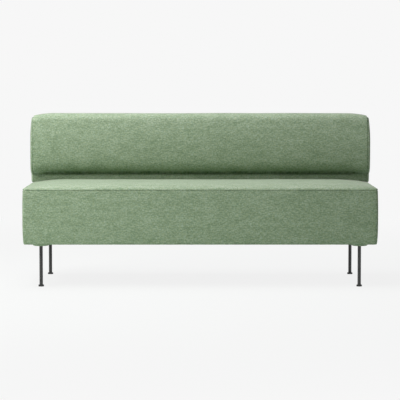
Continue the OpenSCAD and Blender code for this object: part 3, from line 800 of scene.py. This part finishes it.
def nylon():
    """Matt black moulded nylon."""
    material, tree = new_material("black_nylon", Roughness=0.6)
    place = object_place(tree)
    grain = stretched_noise(tree, place, (1400, 1400, 1400), 2)
    cloud = stretched_noise(tree, place, (300, 300, 300), 2)
    colour = ramp(tree, cloud, (0.3, (0.018, 0.018, 0.018)), (0.7, (0.028, 0.028, 0.028)))
    return finish_with(material, colour, grain, 0.08 * MM, 0.6)


def zinc():
    """Bright zinc plating with faint spangle and scuffs."""
    material, tree = new_material("zinc_steel", Metallic=1.0)
    spangle = stretched_noise(tree, object_place(tree), (260, 260, 260), 3)
    # The roughness starts at its least and grows with the spangle
    least_rough, rougher = 0.22, 0.25
    terms = {0: spangle, 1: rougher, 2: least_rough}
    rough = node(tree, "Math", terms, operation="MULTIPLY_ADD").outputs[0]
    tree.links.new(rough, tree.nodes["Principled BSDF"].inputs["Roughness"])
    return finish_with(material, ramp(tree, spangle, (0.3, (0.52, 0.53, 0.54)), (0.7, (0.74, 0.75, 0.76))))


def wood(name, scale, dark, light):
    """Wood or fibreboard. A grain runs along the axis with the smallest scale."""
    material, tree = new_material(name, Roughness=0.62)
    grain = stretched_noise(tree, object_place(tree), scale, 5, 0.62)
    return finish_with(material, ramp(tree, grain, (0.32, dark), (0.68, light)), grain, 0.3 * MM, 0.4)


def webbing():
    """Black elastic webbing with a coarse, uneven yarn."""
    material, tree = new_material("webbing", Roughness=0.85)
    yarn = stretched_noise(tree, object_place(tree), (420, 420, 420), 2)
    colour = ramp(tree, yarn, (0.35, (0.018, 0.018, 0.02)), (0.65, (0.05, 0.05, 0.055)))
    return finish_with(material, colour, yarn, 0.4 * MM, 0.6)


def lining():
    """Black non-woven lining with its pressed dots and stray fibres."""
    material, tree = new_material("lining", Roughness=0.9, Sheen_Weight=0.15)
    place = object_place(tree)
    fibre = stretched_noise(tree, place, (500, 120, 300), 3)
    colour = ramp(tree, fibre, (0.3, (0.012, 0.012, 0.013)), (0.7, (0.032, 0.032, 0.034)))
    dotted = {"Vector": multiply(tree, place, (700, 700, 0)), "Scale": 1.0, "Randomness": 0.15}
    dots = node(tree, "TexVoronoi", dotted).outputs["Distance"]
    return finish_with(material, colour, dots, 0.2 * MM, 0.5)


def dress(material, *objects):
    """Gives pieces or CAD nodes their one material."""
    for piece in objects:
        piece.data.materials.clear()
        piece.data.materials.append(material)


def nodes_of(slot):
    """The CAD nodes of one material slot in the record."""
    return [frame["nodes"][s["node"]] for s in frame["record"]["subparts"] if s["material_slot"] == slot]


def named(form, names):
    """The CAD nodes whose names have this form, with each of the names in it."""
    return [frame["nodes"][form.format(name)] for name in names]


FABRIC = fabric()
ZINC = zinc()
dress(powder_coat(), *nodes_of("black_steel"))
dress(nylon(), *nodes_of("black_nylon"))
dress(ZINC, *nodes_of("zinc_steel"))
dress(webbing(), *nodes_of("webbing"))
PINE = ((0.42, 0.27, 0.13), (0.68, 0.50, 0.29))
BEECH = ((0.48, 0.31, 0.17), (0.64, 0.45, 0.27))
FIBREBOARD = ((0.16, 0.10, 0.055), (0.30, 0.20, 0.12))
dress(wood("timber_along_x", (6, 120, 120), *PINE), *nodes_of("timber"))
across = named("side_rail_{}", ENDS) + named("cross_rail_{}", ENDS)
dress(wood("timber_along_y", (120, 6, 120), *PINE), *across)
upright = named("back_upright_{}", ("left", "centre", "right"))
dress(wood("timber_along_z", (120, 120, 6), *PINE), *upright)
dress(wood("hardwood", (90, 90, 14), *BEECH), *nodes_of("hardwood"))
dress(wood("board", (260, 260, 260), *FIBREBOARD), *nodes_of("board"))

# Camera at the photograph's viewing angle. The picture is square, and this many pixels wide
PICTURE = 400
FOCAL_PX = 1815
PITCH = math.radians(3.905)
CAMERA_AT = (-0.001, -8.702, 0.980)
SENSOR_W = 36
camera = bpy.data.objects.new("camera", bpy.data.cameras.new("camera"))
camera.data.sensor_width = SENSOR_W
camera.data.lens = FOCAL_PX / PICTURE * SENSOR_W
camera.data.clip_end = 100
camera.location = CAMERA_AT
camera.rotation_euler = (math.pi / 2 - PITCH, 0, 0)
bpy.context.scene.collection.objects.link(camera)
bpy.context.scene.camera = camera


# Pieces

def upholster(piece, fill, *stands_for):
    """Dresses a soft piece in the sofa's cloth, hangs it on the sofa's body and hides the CAD nodes that it
    replaces.
    """
    dress(FABRIC, piece)
    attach(piece, "sofa")
    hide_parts(*stands_for)


seat = make_seat()
bpy.context.view_layer.update()
back = make_back(surface_under(seat, BACK_GAP))
seat_covers = [f"seat_cover_{side}" for side in ("top", "front", "rear", *ENDS)]
upholster(seat, 0.9, "seat_foam", *seat_covers, "seat_border_foam")
back_covers = [f"back_cover_{side}" for side in ("front", "neck", "rear", *ENDS)]
upholster(back, 0.9, "back_foam", *back_covers, "back_rear_pad")
for corner in CORNERS:
    cup = make_cup(corner)
    soften(cup)
    upholster(cup, 0.7, "plate_covers")
lining_cloth, lining_x, lining_y, lining_z = make_lining()
dress(lining(), lining_cloth)
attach(lining_cloth, "sofa")
rails = [f"{rail}_rail" for rail in ("front", "rear")]
rails += [f"{rail}_rail_{end}" for rail in ("side", "cross") for end in ENDS]
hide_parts("seat_lining")
staples = make_staples(lining_x, lining_y, lining_z)
dress(ZINC, staples)
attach(staples, "sofa")


# Floor, lights and background

PALE = (0.93, 0.93, 0.93, 1)
# This share of the floor's light and shadow shows, up to this far from the middle, and further out none
KEPT_LIGHT = 0.08
KEPT_TO = 1.2
NONE_FROM = 4.0
# What the floor casts back on the sofa, which evens out the tinge of the lamps above
FLOOR_TONE = (0.65, 0.735, 0.645, 1)
FLOOR_SIZE = 60


def floor_material():
    """Pale floor that shows its own tone to the camera and, near the sofa, a share of light and shadow."""
    material = bpy.data.materials.new("floor")
    material.use_nodes = True
    tree = material.node_tree
    tree.nodes.clear()
    away = node(tree, "VectorMath", {0: object_place(tree)}, operation="LENGTH").outputs["Value"]
    run = {"Value": away, "From Min": KEPT_TO, "From Max": NONE_FROM}
    far = node(tree, "MapRange", run, interpolation_type="SMOOTHSTEP").outputs[0]
    kept = math_node(tree, "MULTIPLY", math_node(tree, "SUBTRACT", 1.0, far), KEPT_LIGHT)
    share = math_node(tree, "MULTIPLY", ray_is_seen(tree), math_node(tree, "SUBTRACT", 1.0, kept))
    glow = node(tree, "Emission", {"Color": PALE, "Strength": 1.0}).outputs[0]
    lit = node(tree, "BsdfDiffuse", {"Color": FLOOR_TONE}).outputs[0]
    shader = node(tree, "MixShader", {0: share, 1: lit, 2: glow}).outputs[0]
    node(tree, "OutputMaterial", {"Surface": shader})
    return material


bpy.ops.mesh.primitive_plane_add(size=FLOOR_SIZE, location=(0, 0, 0))
floor = bpy.context.object
floor.name = "floor"
floor.data.materials.append(floor_material())

world = bpy.data.worlds.new("studio")
bpy.context.scene.world = world
world.use_nodes = True
sky = world.node_tree
sky.nodes.clear()
shown = node(sky, "Background", {"Color": PALE, "Strength": 1.0}).outputs[0]
unlit = node(sky, "Background", {"Color": (1, 1, 1, 1), "Strength": 0.0}).outputs[0]
surface = node(sky, "MixShader", {0: ray_is_seen(sky), 1: unlit, 2: shown}).outputs[0]
node(sky, "OutputWorld", {"Surface": surface})

SOFA_MIDDLE = Vector((0, 0, 0.45))
# Tones of the lamps in front of the sofa and above it
WARM, COOL = (1.0, 0.99, 0.985), (0.95, 0.88, 1.0)


def softbox(name, place, size, watts, colour=(1, 1, 1)):
    """A square area light that faces the middle of the sofa."""
    lamp = bpy.data.objects.new(name, bpy.data.lights.new(name, "AREA"))
    lamp.data.size = size
    lamp.data.energy = watts
    lamp.data.color = colour
    lamp.location = place
    lamp.rotation_euler = (SOFA_MIDDLE - Vector(place)).to_track_quat("-Z", "Y").to_euler()
    bpy.context.scene.collection.objects.link(lamp)


softbox("key", (-2.2, -1.7, 2.6), 1.2, 71.5, WARM)
softbox("near_left", (-1.8, -1.9, 1.9), 1.0, 14, WARM)
softbox("right_fill", (3.2, -2.4, 1.8), 1.4, 4, WARM)
softbox("right_end", (4.0, 0.7, 0.6), 1.0, 20)
softbox("above", (-0.8, -0.6, 4.2), 2.0, 110, COOL)
softbox("above_rear", (-1.2, 0.8, 3.8), 2.0, 78, COOL)
softbox("rear", (0, 4.5, 0.9), 1.6, 50)
bpy.context.scene.view_settings.view_transform = "Standard"
